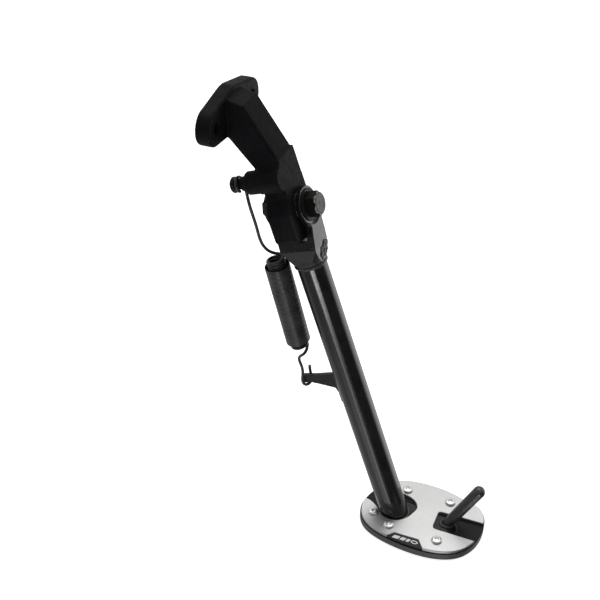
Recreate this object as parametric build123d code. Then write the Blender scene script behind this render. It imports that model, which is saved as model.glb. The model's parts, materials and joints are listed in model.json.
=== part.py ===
"""Motorcycle side stand (kickstand) with an extension foot plate.

Built in the stand's ground frame and moved to the row frame as it is written: +X is forward, +Y is
outward to the rider's left, +Z is up.  The row origin is the middle of the two frame bolts on the
bracket's mounting face.

Most pieces are drawn in the leg's own axes: x forward, y down the leg, z outward along the pivot.
"""

import math
import os

from build123d import *

# ---------------------------------------------------------------- driving dimensions, mm and degrees
LEAN = 18.4                 # leg leans outward from the vertical
SOLE_TO_TOP = 10.0          # ground to the top of the metal foot plate
LEG_X = -3.0                # the leg's plane, from the foot's reference point
LEG_FOOT_Y = -30.9          # where the leg's axis meets the top of the foot plate
PIVOT_TO_TOP = 307.9        # pivot to that point, along the leg

TUBE_R = 12.25
TUBE_WALL = 2.4

# fork at the head of the leg
EYE_R = 14.5
EAR_HALF_DEPTH = 10.0
EAR_INNER = 10.1            # inner face of each ear, from the leg's axis
EAR_OUTER = 17.2
EAR_OUTER_LOW = 15.3        # the ears close in towards the tube
EAR_LOW = 33.0
CROTCH = 25.0               # floor of the fork's gap
FORK_END = 48.5
SPOTFACE = 14.2             # seat for the bolt head's washer, in the outer ear
SPOTFACE_R = 15.0
NECK_FLARE = 0.52           # the neck narrows by this much of its length

# pivot
BOLT_R = 6.0
BOLT_HEAD_R = 8.6            # half the width across the flats
BOLT_HEAD_TURN = 12.0
BOLT_HEAD_SEAT = 15.4
BOLT_HEAD_FACE = 24.4
BUSH_R = 8.0
RUNNING_GAP = 0.05
TONGUE_HALF = 9.2
THRUST_WASHER_R = 13.0

# bracket
MOUNT_FACE_IN = 56.0        # mounting face, inward of the pivot
MOUNT_UP = 70.0             # bolt line, above the pivot
MOUNT_BOLT_SPACING = 60.0
MOUNT_HOLE_R = 5.25
MOUNT_PLATE = 11.0

# spring
ANCHOR_X = 16.0
ANCHOR_Y = -30.0
ANCHOR_PIN_R = 4.0
ANCHOR_HOOK_Z = -28.0
HOOK_Y = 162.6              # middle of the lower hook, down the leg from the pivot
HOOK_Z = -40.5
HOOK_R = 5.0                # lower hook, to the middle of the wire
HOOK_TURN = 25.0            # the hook's plane is turned inward at the front
WIRE_R = 1.25
COIL_R = 6.35                # to the middle of the wire
COIL_PITCH = 2.9
COIL_TOP = 38.0             # leg heights of the coil's ends and of the two halves' facing ends
UPPER_COIL_END = 87.3
LOWER_COIL_START = 106.3
COIL_END = 126.6
COIL_Z_TOP = -23.9          # the coil's axis runs a little inward as it goes down
COIL_Z_END = -34.0
SLEEVE_R = 10.2
SLEEVE_INNER_R = 9.65
SLEEVE_TOP = 44.0
SLEEVE_END = 120.2

# spring tab on the tube
TAB_HALF = 2.2
NOTCH_BOTTOM = HOOK_Y + 3.1

# foot
BASE_T = 7.0
POCKET_FLOOR = 3.4
RIM = 1.0                   # the top plate is this much smaller than the base
SCREW_PLACES = [(-28.6, -25.4), (-28.1, 14.9), (8.5, -46.2), (18.1, -28.5), (19.4, 15.4)]
SCREW_R = 2.5
SCREW_HEAD_R = 4.75
SCREW_HEAD_H = 2.6
INLAY_SUNK = 0.7            # the badge inlay lies this far below the metal
BAR_START = -20.6
BAR_LENGTHS = (5.6, 4.2, 2.8)
BAR_SLANT = 1.6
PEG_BASE = (-6.0, 18.4, 6.8)
PEG_TIP = (-14.8, 43.4, 52.4)
PEG_R_BASE = 4.8
PEG_R_TIP = 5.35

# ---------------------------------------------------------------- frames
SIN = math.sin(math.radians(LEAN))
COS = math.cos(math.radians(LEAN))
PIVOT = Vector(LEG_X, LEG_FOOT_Y - PIVOT_TO_TOP * SIN, SOLE_TO_TOP + PIVOT_TO_TOP * COS)
LEG = Plane(origin=PIVOT, x_dir=(1, 0, 0), z_dir=(0, COS, SIN))
ORIGIN = Vector(PIVOT.X, PIVOT.Y - MOUNT_FACE_IN, PIVOT.Z + MOUNT_UP)


def leg_to_ground(x, y, z):
    """A point in the leg's axes, in the ground frame."""
    return LEG.from_local_coords(Vector(x, y, z))


def in_leg(shape):
    """A shape drawn in the leg's axes, put in the ground frame."""
    return LEG.location * shape


def cylinder_along_z(radius, low, high, x=0.0, y=0.0):
    """A round bar along z between two heights."""
    return Pos(x, y, (low + high) / 2) * Cylinder(radius, high - low)


def prism(points, low, high, plane=Plane.XY):
    """A straight-sided outline, raised between two distances from its plane."""
    face = make_face(Polyline(*points, close=True))
    return extrude(plane.offset(low) * face, high - low)


def slab(outline, low, high):
    """An outline drawn with x outward and y rearward, as a flat plate between two heights."""
    plane = Plane(origin=(0, 0, low), x_dir=(0, 1, 0), z_dir=(0, 0, 1))
    return extrude(plane * outline, high - low)


# ---------------------------------------------------------------- bracket body
def mounting_bracket():
    """Tongue between the fork's ears, an arm up and inward, and the plate that bolts to the frame."""
    tongue_profile = Circle(15)
    tongue_profile += make_face(
        Polyline((-15, 0), (-14, -44), (14, -44), (19, -14), (25.5, -4), (25.5, 17), (23, 20.4),
                 (7, 23.6), (3, 14.5), close=True)
    )
    tongue = extrude(Plane.XY.offset(-TONGUE_HALF) * tongue_profile, 2 * TONGUE_HALF)
    boss = cylinder_along_z(9, -19.5, TONGUE_HALF, ANCHOR_X, ANCHOR_Y)
    web = prism([(-2, -42), (14, -42), (24.3, -33), (22, -22), (8, -18)], -TONGUE_HALF, TONGUE_HALF)
    body = in_leg(tongue + boss + web)

    inner = PIVOT.Y - MOUNT_FACE_IN + MOUNT_PLATE
    line = PIVOT.Z + MOUNT_UP
    low_out = leg_to_ground(0, -22, TONGUE_HALF)
    high_out = leg_to_ground(0, -40, TONGUE_HALF)
    low_in = leg_to_ground(0, -30, -TONGUE_HALF)
    side = Plane(origin=(PIVOT.X, 0, 0), x_dir=(0, 1, 0), z_dir=(1, 0, 0))
    arm_points = [
        (low_out.Y, low_out.Z),
        (high_out.Y, high_out.Z),
        (inner + 12, line + 12),
        (inner - 1, line + 15),
        (inner - 1, line - 15),
        (low_in.Y, low_in.Z),
    ]
    arm = prism(arm_points, -14, 14, side)
    arm = fillet(arm.edges().filter_by(Axis.X).sort_by(Axis.Y)[-2:], 7)
    sides = [edge for edge in arm.edges() if abs(abs(edge.center().X - PIVOT.X) - 14) < 0.01]
    arm = fillet(ShapeList(sides), 3)
    half = MOUNT_BOLT_SPACING / 2
    back = Plane(origin=(PIVOT.X, ORIGIN.Y, line), x_dir=(1, 0, 0), z_dir=(0, -1, 0))
    ears = make_hull((Pos(-half, 0) * Circle(14)).edges() + (Pos(half, 0) * Circle(14)).edges()
                     + (Pos(0, 2) * Circle(18)).edges())
    plate = extrude(back * ears, -MOUNT_PLATE)
    plate = fillet(plate.faces().sort_by(Axis.Y)[-1].edges(), 1.6)
    body = body + arm + plate
    for x in (-half, half):
        body -= extrude(back * Pos(x, 0) * Circle(MOUNT_HOLE_R), -MOUNT_PLATE - 1)
        spot = extrude(back.offset(-MOUNT_PLATE) * Pos(x, 0) * Circle(11.5), -20)
        body -= spot
    body -= in_leg(cylinder_along_z(BUSH_R, -TONGUE_HALF - 1, TONGUE_HALF + 1))
    body -= in_leg(cylinder_along_z(ANCHOR_PIN_R, -21, 5, ANCHOR_X, ANCHOR_Y))
    return body


def pivot_bush():
    """Bronze bush pressed in the tongue."""
    bush = cylinder_along_z(BUSH_R, -TONGUE_HALF, TONGUE_HALF)
    return in_leg(bush - cylinder_along_z(BOLT_R + RUNNING_GAP, -10, 10))


def thrust_washers():
    """One thin washer on each side of the tongue."""
    washers = []
    for side in (-1, 1):
        low, high = sorted((side * TONGUE_HALF, side * (TONGUE_HALF + 0.8)))
        ring = cylinder_along_z(THRUST_WASHER_R, low, high)
        washers.append(in_leg(ring - cylinder_along_z(BOLT_R + RUNNING_GAP, low - 1, high + 1)))
    return Compound(washers)


def spring_anchor_pin():
    """Headed pin in the bracket's boss, which the spring's upper hook turns on."""
    pin = cylinder_along_z(ANCHOR_PIN_R, -31.5, 5)
    head = cylinder_along_z(6.2, -33.5, -31.5)
    head = chamfer(head.edges().filter_by(GeomType.CIRCLE).sort_by(Axis.Z)[0], 0.8)
    collar = cylinder_along_z(5.6, -24.5, -19.5)
    return in_leg(Pos(ANCHOR_X, ANCHOR_Y) * (pin + head + collar))


# ---------------------------------------------------------------- leg body
def leg_fork():
    """Forged fork: two eyed ears that close in to a round neck as wide as the tube."""
    neck_r = TUBE_R + 0.5
    shoulder = neck_r + 0.4
    front = [
        (-EAR_OUTER, -20), (-EAR_OUTER, 2), (-EAR_OUTER_LOW, EAR_LOW), (-shoulder, 42.5),
        (-neck_r, FORK_END), (neck_r, FORK_END), (shoulder, 42.5), (EAR_OUTER_LOW, EAR_LOW),
        (EAR_OUTER, 2), (EAR_OUTER, -20),
    ]
    facing = Plane(origin=(0, 0, 0), x_dir=(0, 0, 1), z_dir=(-1, 0, 0))
    wide = prism(front, -20, 20, facing)
    gap = Pos(0, CROTCH / 2 - 20, 0) * Box(60, CROTCH + 40, 2 * EAR_INNER)
    gap = fillet(gap.edges().filter_by(Axis.X).group_by(Axis.Y)[-1], 2.5)
    side = Circle(EYE_R) + make_face(
        Polyline((-12.5, 7.3), (-EAR_HALF_DEPTH, 15), (-EAR_HALF_DEPTH, 34), (-neck_r, 42),
                 (-neck_r, FORK_END), (neck_r, FORK_END), (shoulder, 42.5), (14.6, 32),
                 (EAR_HALF_DEPTH, 14), (12.5, 7.3), close=True)
    )
    deep = extrude(Plane.XY.offset(-20) * side, 40)
    reach = FORK_END + 20
    neck = Cone(neck_r + NECK_FLARE * reach, neck_r, reach)
    neck = Pos(0, FORK_END - reach / 2, 0) * Rot(-90, 0, 0) * neck
    fork = (wide & deep & neck) - gap
    fork -= cylinder_along_z(BOLT_R, -20, 20)
    fork -= cylinder_along_z(SPOTFACE_R, SPOTFACE, 25)
    return in_leg(fork)


def leg_tube():
    """Round steel tube from the fork to the stamped foot, cut flat at its foot."""
    length = PIVOT_TO_TOP + 20 - FORK_END
    middle = FORK_END + length / 2
    tube = Pos(0, middle, 0) * Rot(90, 0, 0) * Cylinder(TUBE_R, length)
    tube -= Pos(0, middle, 0) * Rot(90, 0, 0) * Cylinder(TUBE_R - TUBE_WALL, length)
    below = Pos(0, LEG_FOOT_Y, BASE_T - 50) * Box(200, 200, 100)
    return in_leg(tube) - below


def solid_leg():
    """The tube without its bore, for cutting the pieces that fit round it."""
    length = PIVOT_TO_TOP + 60
    return in_leg(Pos(0, FORK_END + length / 2, 0) * Rot(90, 0, 0) * Cylinder(TUBE_R, length))


def fork_weld():
    """Bead round the joint of fork and tube."""
    bead = Pos(0, FORK_END + 0.6, 0) * Rot(90, 0, 0) * Torus(TUBE_R, 1.7)
    return in_leg(bead) - solid_leg() - leg_fork()


def tab_points():
    """Outline of the spring tab, as leg height and inward distance."""
    tip = -HOOK_Z
    return [
        (150.8, 10.5), (154.2, 12.2), (157.4, 15.8), (158.2, tip - 8), (157.4, tip + 1.5),
        (161.0, tip + 3.2), (167.0, tip + 2.8), (167.4, tip + 2.0), (NOTCH_BOTTOM, tip + 1.2),
        (NOTCH_BOTTOM, tip - 5.5), (165.9, tip - 8.5), (171.0, 15.5), (184.6, 10.5),
    ]


def spring_tab():
    """Triangular gusset on the inner side of the tube, notched under its tip for the spring."""
    plane = Plane(origin=(0, 0, 0), x_dir=(0, 1, 0), z_dir=(1, 0, 0))
    tab = prism([(y, -inward) for y, inward in tab_points()], -TAB_HALF, TAB_HALF, plane)
    neck = Pos(0, HOOK_Y, HOOK_Z - 1) * Box(10, 12, 14)
    bar = Pos(0, HOOK_Y - 1.2, HOOK_Z - 1) * Box(2 * TAB_HALF, 8.4, 14)
    bar = chamfer(bar.edges().filter_by(Axis.Z), 0.9)
    trimmed = (tab & neck & bar) + (tab - neck)
    trimmed += tab & (Pos(0, HOOK_Y, HOOK_Z - 6.2) * Box(10, 20, 5.4))
    return in_leg(trimmed) - solid_leg()


def tab_welds():
    """Fillet beads along both faces of the tab, where it meets the tube."""
    beads = []
    for side in (-1, 1):
        bead = Pos(side * TAB_HALF, 168, -TUBE_R + 0.5) * Rot(90, 0, 0) * Cylinder(1.9, 27)
        block = Pos(0, 168, -TUBE_R - 8) * Box(2 * TAB_HALF, 60, 22)
        beads.append((in_leg(bead - block) - solid_leg()).solids().sort_by(SortBy.VOLUME)[-1])
    return Compound(beads)


def pivot_bolt():
    """Shouldered pivot bolt with a hexagon head, put in from outside."""
    height = BOLT_HEAD_FACE - BOLT_HEAD_SEAT
    hexagon = RegularPolygon(BOLT_HEAD_R, 6, major_radius=False, rotation=BOLT_HEAD_TURN)
    head = extrude(Plane.XY.offset(BOLT_HEAD_SEAT) * hexagon, height)
    rounding = cylinder_along_z(BOLT_HEAD_R * 1.14, BOLT_HEAD_SEAT, BOLT_HEAD_FACE)
    head &= chamfer(rounding.edges().filter_by(GeomType.CIRCLE).sort_by(Axis.Z)[-1], 0.9, 1.6)
    shank = cylinder_along_z(BOLT_R, -EAR_OUTER, BOLT_HEAD_SEAT)
    thread = cylinder_along_z(4.0, -23.0, -EAR_OUTER)
    return in_leg(head + shank + thread)


def pivot_nut():
    """Thin lock nut on the inner ear."""
    nut = extrude(Plane.XY.offset(-22.4) * RegularPolygon(8.0, 6), 4.2)
    return in_leg(nut - cylinder_along_z(4.0, -30, 0))


def head_washer():
    """Wide washer under the bolt head."""
    washer = cylinder_along_z(12.6, SPOTFACE, BOLT_HEAD_SEAT)
    washer = chamfer(washer.edges().filter_by(GeomType.CIRCLE).sort_by(Axis.Z)[-1], 0.3)
    return in_leg(washer - cylinder_along_z(BOLT_R, 0, 30))


def nut_washer():
    """Plain washer under the lock nut."""
    washer = cylinder_along_z(8.6, -EAR_OUTER - 1.0, -EAR_OUTER)
    return in_leg(washer - cylinder_along_z(4.0, -30, 0))


# ---------------------------------------------------------------- foot
def base_outline(inset=0.0):
    """Egg-shaped outline of the foot, outward and rearward of the reference point."""
    shape = [
        (-59.6, 3), (-58.4, -9), (-52, -19.5), (-40, -26.8), (-25, -31), (-8, -33.2), (10, -33),
        (24, -30), (36.6, -23), (44.9, -12), (48.9, 0), (49.7, 12), (47.6, 24), (42, 32.4),
        (32, 36), (15, 41.2), (-4, 43.8), (-20, 43.2), (-34, 39.6), (-46, 32), (-55, 19),
    ]
    drawn_in = [Vector(a, b) * (1 - inset / Vector(a, b).length) for a, b in shape]
    return make_face(Spline(*drawn_in, periodic=True))


def foot_pocket(grow):
    """Outline of the stamped foot, grown by a clearance."""
    heel = Pos(-28, 2) * Circle(16.5 + grow)
    toe = Pos(17, 1) * Circle(12 + grow)
    return make_hull(heel.edges() + toe.edges())


def notch_outline():
    """Opening in the top plate round the leg, open at the inner rear edge."""
    edge = Spline((-66, 4.6), (-48, 1.4), (-43.6, -2.7), (-39, -7.9), (-31, -10.9), (-22.4, -8.6),
                  (-16.4, -2.8), (-13.2, 4), (-11.4, 11), (-14.4, 17.4), (-21.6, 21.6), (-31, 23))
    back = Polyline((-31, 23), (-44, 43.5), (-66, 43.5), (-66, 4.6))
    return make_face(edge + back)


def badge_outline(inset):
    """Tapered window in the top plate's front edge."""
    window = make_face(Polyline((-33, -36), (-21.5, -24), (0.5, -24), (9, -36), close=True))
    return offset(window, -inset) if inset else window


def peg_slot():
    """Opening in the top plate round the kick peg, open at its outer end."""
    slot = make_face(Polyline((8, -6.6), (60, -7.4), (60, 15.4), (8, 14.5), close=True))
    return fillet(slot.vertices().group_by(Axis.X)[0], 3.2)


def top_plate():
    """Brushed metal plate with the leg notch, the peg slot and the badge window."""
    outline = base_outline(RIM) - notch_outline() - peg_slot() - badge_outline(0)
    plate = slab(outline, BASE_T, SOLE_TO_TOP)
    rim = plate.faces().sort_by(Axis.Z)[-1].edges()
    plate = chamfer(rim, 0.45)
    for x, y in SCREW_PLACES:
        plate -= cylinder_along_z(SCREW_R + 0.2, 0, 20, x, y)
    return plate


def base_plate():
    """Black base with a pocket for the stamped foot, screw holes and nut pockets below."""
    base = slab(base_outline(), 0, BASE_T)
    base = chamfer(base.faces().sort_by(Axis.Z)[0].edges(), 0.8)
    base -= slab(foot_pocket(0.3), POCKET_FLOOR, BASE_T + 1)
    for x, y in SCREW_PLACES:
        base -= cylinder_along_z(SCREW_R + 0.2, -1, BASE_T + 1, x, y)
        base -= Pos(x, y, -0.1) * extrude(RegularPolygon(4.6, 6, major_radius=False), 3.05)
    return base


def badge_inlay():
    """Black moulded inlay in the badge window."""
    outline = badge_outline(0.25) & base_outline(RIM)
    return slab(outline, BASE_T, SOLE_TO_TOP - INLAY_SUNK)


def badge_mark():
    """Plain mark on the inlay: slanted bars that grow shorter, and an oval ring."""
    low = SOLE_TO_TOP - INLAY_SUNK
    marks = []
    left = BAR_START
    for length in BAR_LENGTHS:
        bar = make_face(Polyline((left - BAR_SLANT, -29.6), (left + length - BAR_SLANT, -29.6),
                                 (left + length, -26.2), (left, -26.2), close=True))
        marks.append(slab(bar, low, low + 0.3))
        left += length + 1.2
    ring = Ellipse(3.1, 1.9) - Ellipse(2.2, 1.0)
    marks.append(slab(Pos(-2.2, -27.9) * ring, low, low + 0.3))
    return Compound(marks)


def plate_screws():
    """Button-head socket screws through the top plate into the base."""
    screws = []
    for x, y in SCREW_PLACES:
        head = cylinder_along_z(SCREW_HEAD_R, SOLE_TO_TOP, SOLE_TO_TOP + SCREW_HEAD_H)
        head = fillet(head.edges().filter_by(GeomType.CIRCLE).sort_by(Axis.Z)[-1], 2.1)
        shank = cylinder_along_z(SCREW_R, 1.2, SOLE_TO_TOP)
        socket = Pos(0, 0, SOLE_TO_TOP + 1.0) * extrude(RegularPolygon(1.75, 6), 3)
        screws.append(Pos(x, y) * (head + shank - socket))
    return Compound(screws)


def insert_nuts():
    """Hexagon nuts in the base's underside pockets."""
    nuts = []
    for x, y in SCREW_PLACES:
        nut = Pos(0, 0, 0.4) * extrude(RegularPolygon(4.4, 6, major_radius=False), 2.5)
        nuts.append(Pos(x, y) * (nut - cylinder_along_z(SCREW_R, -1, 9)))
    return Compound(nuts)


def stamped_foot():
    """The stand's own steel foot, held between the base and the top plate."""
    return slab(foot_pocket(0), POCKET_FLOOR, BASE_T)


def foot_weld():
    """Bead where the tube meets the stamped foot."""
    shift = (SOLE_TO_TOP - BASE_T) * SIN / COS
    ring = Pos(LEG_X, LEG_FOOT_Y + shift) * Ellipse(TUBE_R + 0.9, TUBE_R / COS + 0.9)
    bead = extrude(Plane.XY.offset(BASE_T) * ring, 1.9, taper=28)
    return bead - solid_leg()


def peg_solid(grow):
    """The peg as a round, slightly swelling bar with a domed end."""
    base, tip = Vector(*PEG_BASE), Vector(*PEG_TIP)
    direction = (tip - base).normalized()
    length = (tip - base).length - PEG_R_TIP
    start = Plane(origin=base - direction * 4, z_dir=direction)
    rod = Pos(0, 0, (length + 4) / 2) * Cone(PEG_R_BASE + grow, PEG_R_TIP + grow, length + 4)
    rod = start.location * rod
    dome = Pos(*(base + direction * length)) * Sphere(PEG_R_TIP + grow)
    return rod + dome


def kick_peg():
    """Peg that the rider's foot pushes to swing the stand out."""
    below = Pos(0, 0, BASE_T - 50) * Box(300, 300, 100)
    return peg_solid(0) - below


def peg_weld():
    """Bead round the foot of the peg."""
    base, tip = Vector(*PEG_BASE), Vector(*PEG_TIP)
    place = base + (tip - base) * ((BASE_T - base.Z) / (tip.Z - base.Z))
    ring = Pos(place.X, place.Y) * Ellipse(PEG_R_BASE + 1.5, PEG_R_BASE + 2.2)
    bead = extrude(Plane.XY.offset(BASE_T) * ring, 2.4, taper=32)
    return bead - peg_solid(0)


# ---------------------------------------------------------------- spring
def spring_line(height):
    """Middle of the spring at a height down the leg, in the leg's axes."""
    share = (height - ANCHOR_Y) / (HOOK_Y - ANCHOR_Y)
    x = ANCHOR_X * (1 - share)
    z = COIL_Z_TOP + (COIL_Z_END - COIL_Z_TOP) * (height - COIL_TOP) / (COIL_END - COIL_TOP)
    return Vector(x, height, z)


def spring_plane(height):
    """A plane across the spring, facing down it."""
    return Plane(origin=spring_line(height), x_dir=(1, 0, 0),
                 z_dir=(spring_line(100) - spring_line(0)).normalized())


def coil(start, end, phase=0.0):
    """Close-wound coil between two heights, its wire starting at an angle from forward."""
    height = end - start
    path = Helix(COIL_PITCH, height, COIL_R)
    section = Plane(origin=path @ 0, z_dir=path % 0) * Circle(WIRE_R)
    return spring_plane(start).location * Rot(0, 0, phase) * sweep(section, path=path, is_frenet=True)


def arc_points(centre, radius, start, end, steps, plane):
    """Points on an arc, in degrees, in a plane given by two directions."""
    first, second = plane
    angles = [math.radians(start + (end - start) * step / steps) for step in range(steps + 1)]
    return [centre + first * (radius * math.cos(a)) + second * (radius * math.sin(a)) for a in angles]


def bent_wire(points):
    """A wire along a smooth curve through its points."""
    path = Spline(*points)
    section = Plane(origin=path @ 0, z_dir=path % 0) * Circle(WIRE_R)
    return sweep(section, path=path)


def spring_upper():
    """Upper half of the spring: coil, long straight wire and an open loop on the anchor pin."""
    loop_r = ANCHOR_PIN_R + WIRE_R + 0.12
    centre = Vector(ANCHOR_X, ANCHOR_Y, ANCHOR_HOOK_Z)
    swing = (Vector(1, 0, 0), Vector(0, 1, 0))
    loop = arc_points(centre, loop_r, 60, -170, 9, swing)
    top = spring_plane(COIL_TOP)
    inner_z = ANCHOR_HOOK_Z - 2.4
    down = [
        Vector(ANCHOR_X - loop_r + 0.3, ANCHOR_Y + 18, ANCHOR_HOOK_Z - 1.0),
        Vector(ANCHOR_X - loop_r - 0.4, ANCHOR_Y + 40, inner_z),
        Vector(ANCHOR_X - loop_r - 2.6, COIL_TOP - 8, inner_z),
        top.from_local_coords(Vector(-COIL_R * 0.8, COIL_R * 0.6, -1.7)),
        top.from_local_coords(Vector(-COIL_R, 0, 0)),
    ]
    return in_leg(coil(COIL_TOP, UPPER_COIL_END, 180) + bent_wire(loop + down))


def spring_lower():
    """Lower half of the spring: its last turns, a cranked wire and a hook under the tab's neck."""
    turn = math.radians(HOOK_TURN)
    across = Vector(math.cos(turn), 0, -math.sin(turn))
    centre = Vector(0, HOOK_Y, HOOK_Z)
    hook = arc_points(centre, HOOK_R, 0, 180, 6, (across, Vector(0, 1, 0)))
    end = spring_plane(COIL_END)
    front = centre + across * HOOK_R
    down = [
        end.from_local_coords(Vector(0, -COIL_R, 0)),
        end.from_local_coords(Vector(COIL_R * 0.35, -COIL_R * 0.98, 1.6)),
        Vector(front.X + 2.8, COIL_END + 4.4, COIL_Z_END + 4.3),
        Vector(front.X + 1.6, HOOK_Y - 28.0, front.Z + 7.4),
        Vector(front.X + 0.8, HOOK_Y - 25.0, front.Z + 4.9),
        Vector(front.X + 0.4, HOOK_Y - 18.0, front.Z + 4.4),
        Vector(front.X, HOOK_Y - 7.0, front.Z + 2.0),
    ]
    back = centre - across * HOOK_R
    tail = [back + Vector(0, -4.5, 0.6), back + Vector(0.3, -11.0, 2.2)]
    knuckle = Pos(*down[0]) * Sphere(WIRE_R + 0.08)
    wire = bent_wire(down + hook + tail) + knuckle
    return in_leg(wire + coil(LOWER_COIL_START, COIL_END, -90))


def spring_sleeve():
    """Ribbed rubber sleeve over the coil."""
    length = SLEEVE_END - SLEEVE_TOP
    tube = Cylinder(SLEEVE_R, length) - Cylinder(SLEEVE_INNER_R, length + 1)
    tube = fillet(tube.edges().filter_by(GeomType.CIRCLE).sort_by(SortBy.RADIUS)[-2:], 0.4)
    return in_leg(spring_plane((SLEEVE_TOP + SLEEVE_END) / 2).location * tube)


SHAPES = {
    "mounting_bracket": mounting_bracket,
    "pivot_bush": pivot_bush,
    "thrust_washers": thrust_washers,
    "spring_anchor_pin": spring_anchor_pin,
    "leg_fork": leg_fork,
    "leg_tube": leg_tube,
    "fork_weld": fork_weld,
    "spring_tab": spring_tab,
    "tab_welds": tab_welds,
    "pivot_bolt": pivot_bolt,
    "pivot_nut": pivot_nut,
    "head_washer": head_washer,
    "nut_washer": nut_washer,
    "stamped_foot": stamped_foot,
    "foot_weld": foot_weld,
    "kick_peg": kick_peg,
    "peg_weld": peg_weld,
    "base_plate": base_plate,
    "top_plate": top_plate,
    "spring_upper": spring_upper,
    "spring_sleeve": spring_sleeve,
    "spring_lower": spring_lower,
    "badge_inlay": badge_inlay,
    "badge_mark": badge_mark,
    "plate_screws": plate_screws,
    "insert_nuts": insert_nuts,
}


def main():
    os.makedirs("parts", exist_ok=True)
    for name, make in SHAPES.items():
        shape = Pos(-ORIGIN) * make()
        export_step(shape, f"parts/{name}.step")
        print(name, round(shape.volume, 1))


main()
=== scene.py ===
"""Looks for a motorcycle side stand: procedural finishes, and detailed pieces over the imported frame."""

import json
import math

import bmesh
import bpy
import numpy as np
from mathutils import Matrix, Vector, noise


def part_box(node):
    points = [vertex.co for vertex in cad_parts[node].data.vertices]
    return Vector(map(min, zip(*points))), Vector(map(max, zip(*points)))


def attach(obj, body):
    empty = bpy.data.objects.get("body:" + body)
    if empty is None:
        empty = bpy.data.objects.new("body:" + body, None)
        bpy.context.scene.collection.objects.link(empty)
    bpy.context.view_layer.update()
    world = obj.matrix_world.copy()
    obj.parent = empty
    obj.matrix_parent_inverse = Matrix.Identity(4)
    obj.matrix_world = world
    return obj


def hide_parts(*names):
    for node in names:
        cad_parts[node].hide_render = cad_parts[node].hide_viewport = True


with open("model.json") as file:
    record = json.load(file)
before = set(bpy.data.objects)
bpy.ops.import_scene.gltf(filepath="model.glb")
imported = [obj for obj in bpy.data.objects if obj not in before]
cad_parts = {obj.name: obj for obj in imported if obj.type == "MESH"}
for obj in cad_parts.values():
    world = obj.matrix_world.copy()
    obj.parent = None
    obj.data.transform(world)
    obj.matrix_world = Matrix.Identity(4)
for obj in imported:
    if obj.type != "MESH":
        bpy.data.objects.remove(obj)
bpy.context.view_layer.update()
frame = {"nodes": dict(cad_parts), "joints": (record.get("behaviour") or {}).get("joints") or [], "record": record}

MM = 0.001
LEAN = math.radians(18.4)
FOLD = next(joint for joint in frame["joints"] if joint["name"] == "leg_fold")
PIVOT = Vector(FOLD["pos_m"])
PIVOT_AXIS = Vector(FOLD["axis"])

# dimensions of the CAD pieces that the new pieces stand for or sit on, mm
TUBE_R = 12.25
FORK_END = 48.5
EAR_OUTER = 17.2
BOLT_SEAT = 15.4
BOLT_HEAD_R = 8.6  # half across the flats
BOLT_HEAD_TURN = math.radians(12)
BOLT_HEAD_FACE = 24.4
SCREW_HEAD_R = 4.75
SCREW_HEAD_H = 2.6

# heights of the ground and of the foot plate's top face, metres
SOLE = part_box("base_plate")[0].z
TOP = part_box("top_plate")[1].z

# the leg's own axes: x forward, y down the leg, z outward along the pivot
LEG = Matrix.Translation(PIVOT) @ Matrix((
    (1, 0, 0, 0),
    (0, math.sin(LEAN), math.cos(LEAN), 0),
    (0, -math.cos(LEAN), math.sin(LEAN), 0),
    (0, 0, 0, 1),
))


# ---------------------------------------------------------------- node helpers
def socket(shader, name, value):
    """Sets a shader's input."""
    shader.inputs[name].default_value = value


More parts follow.
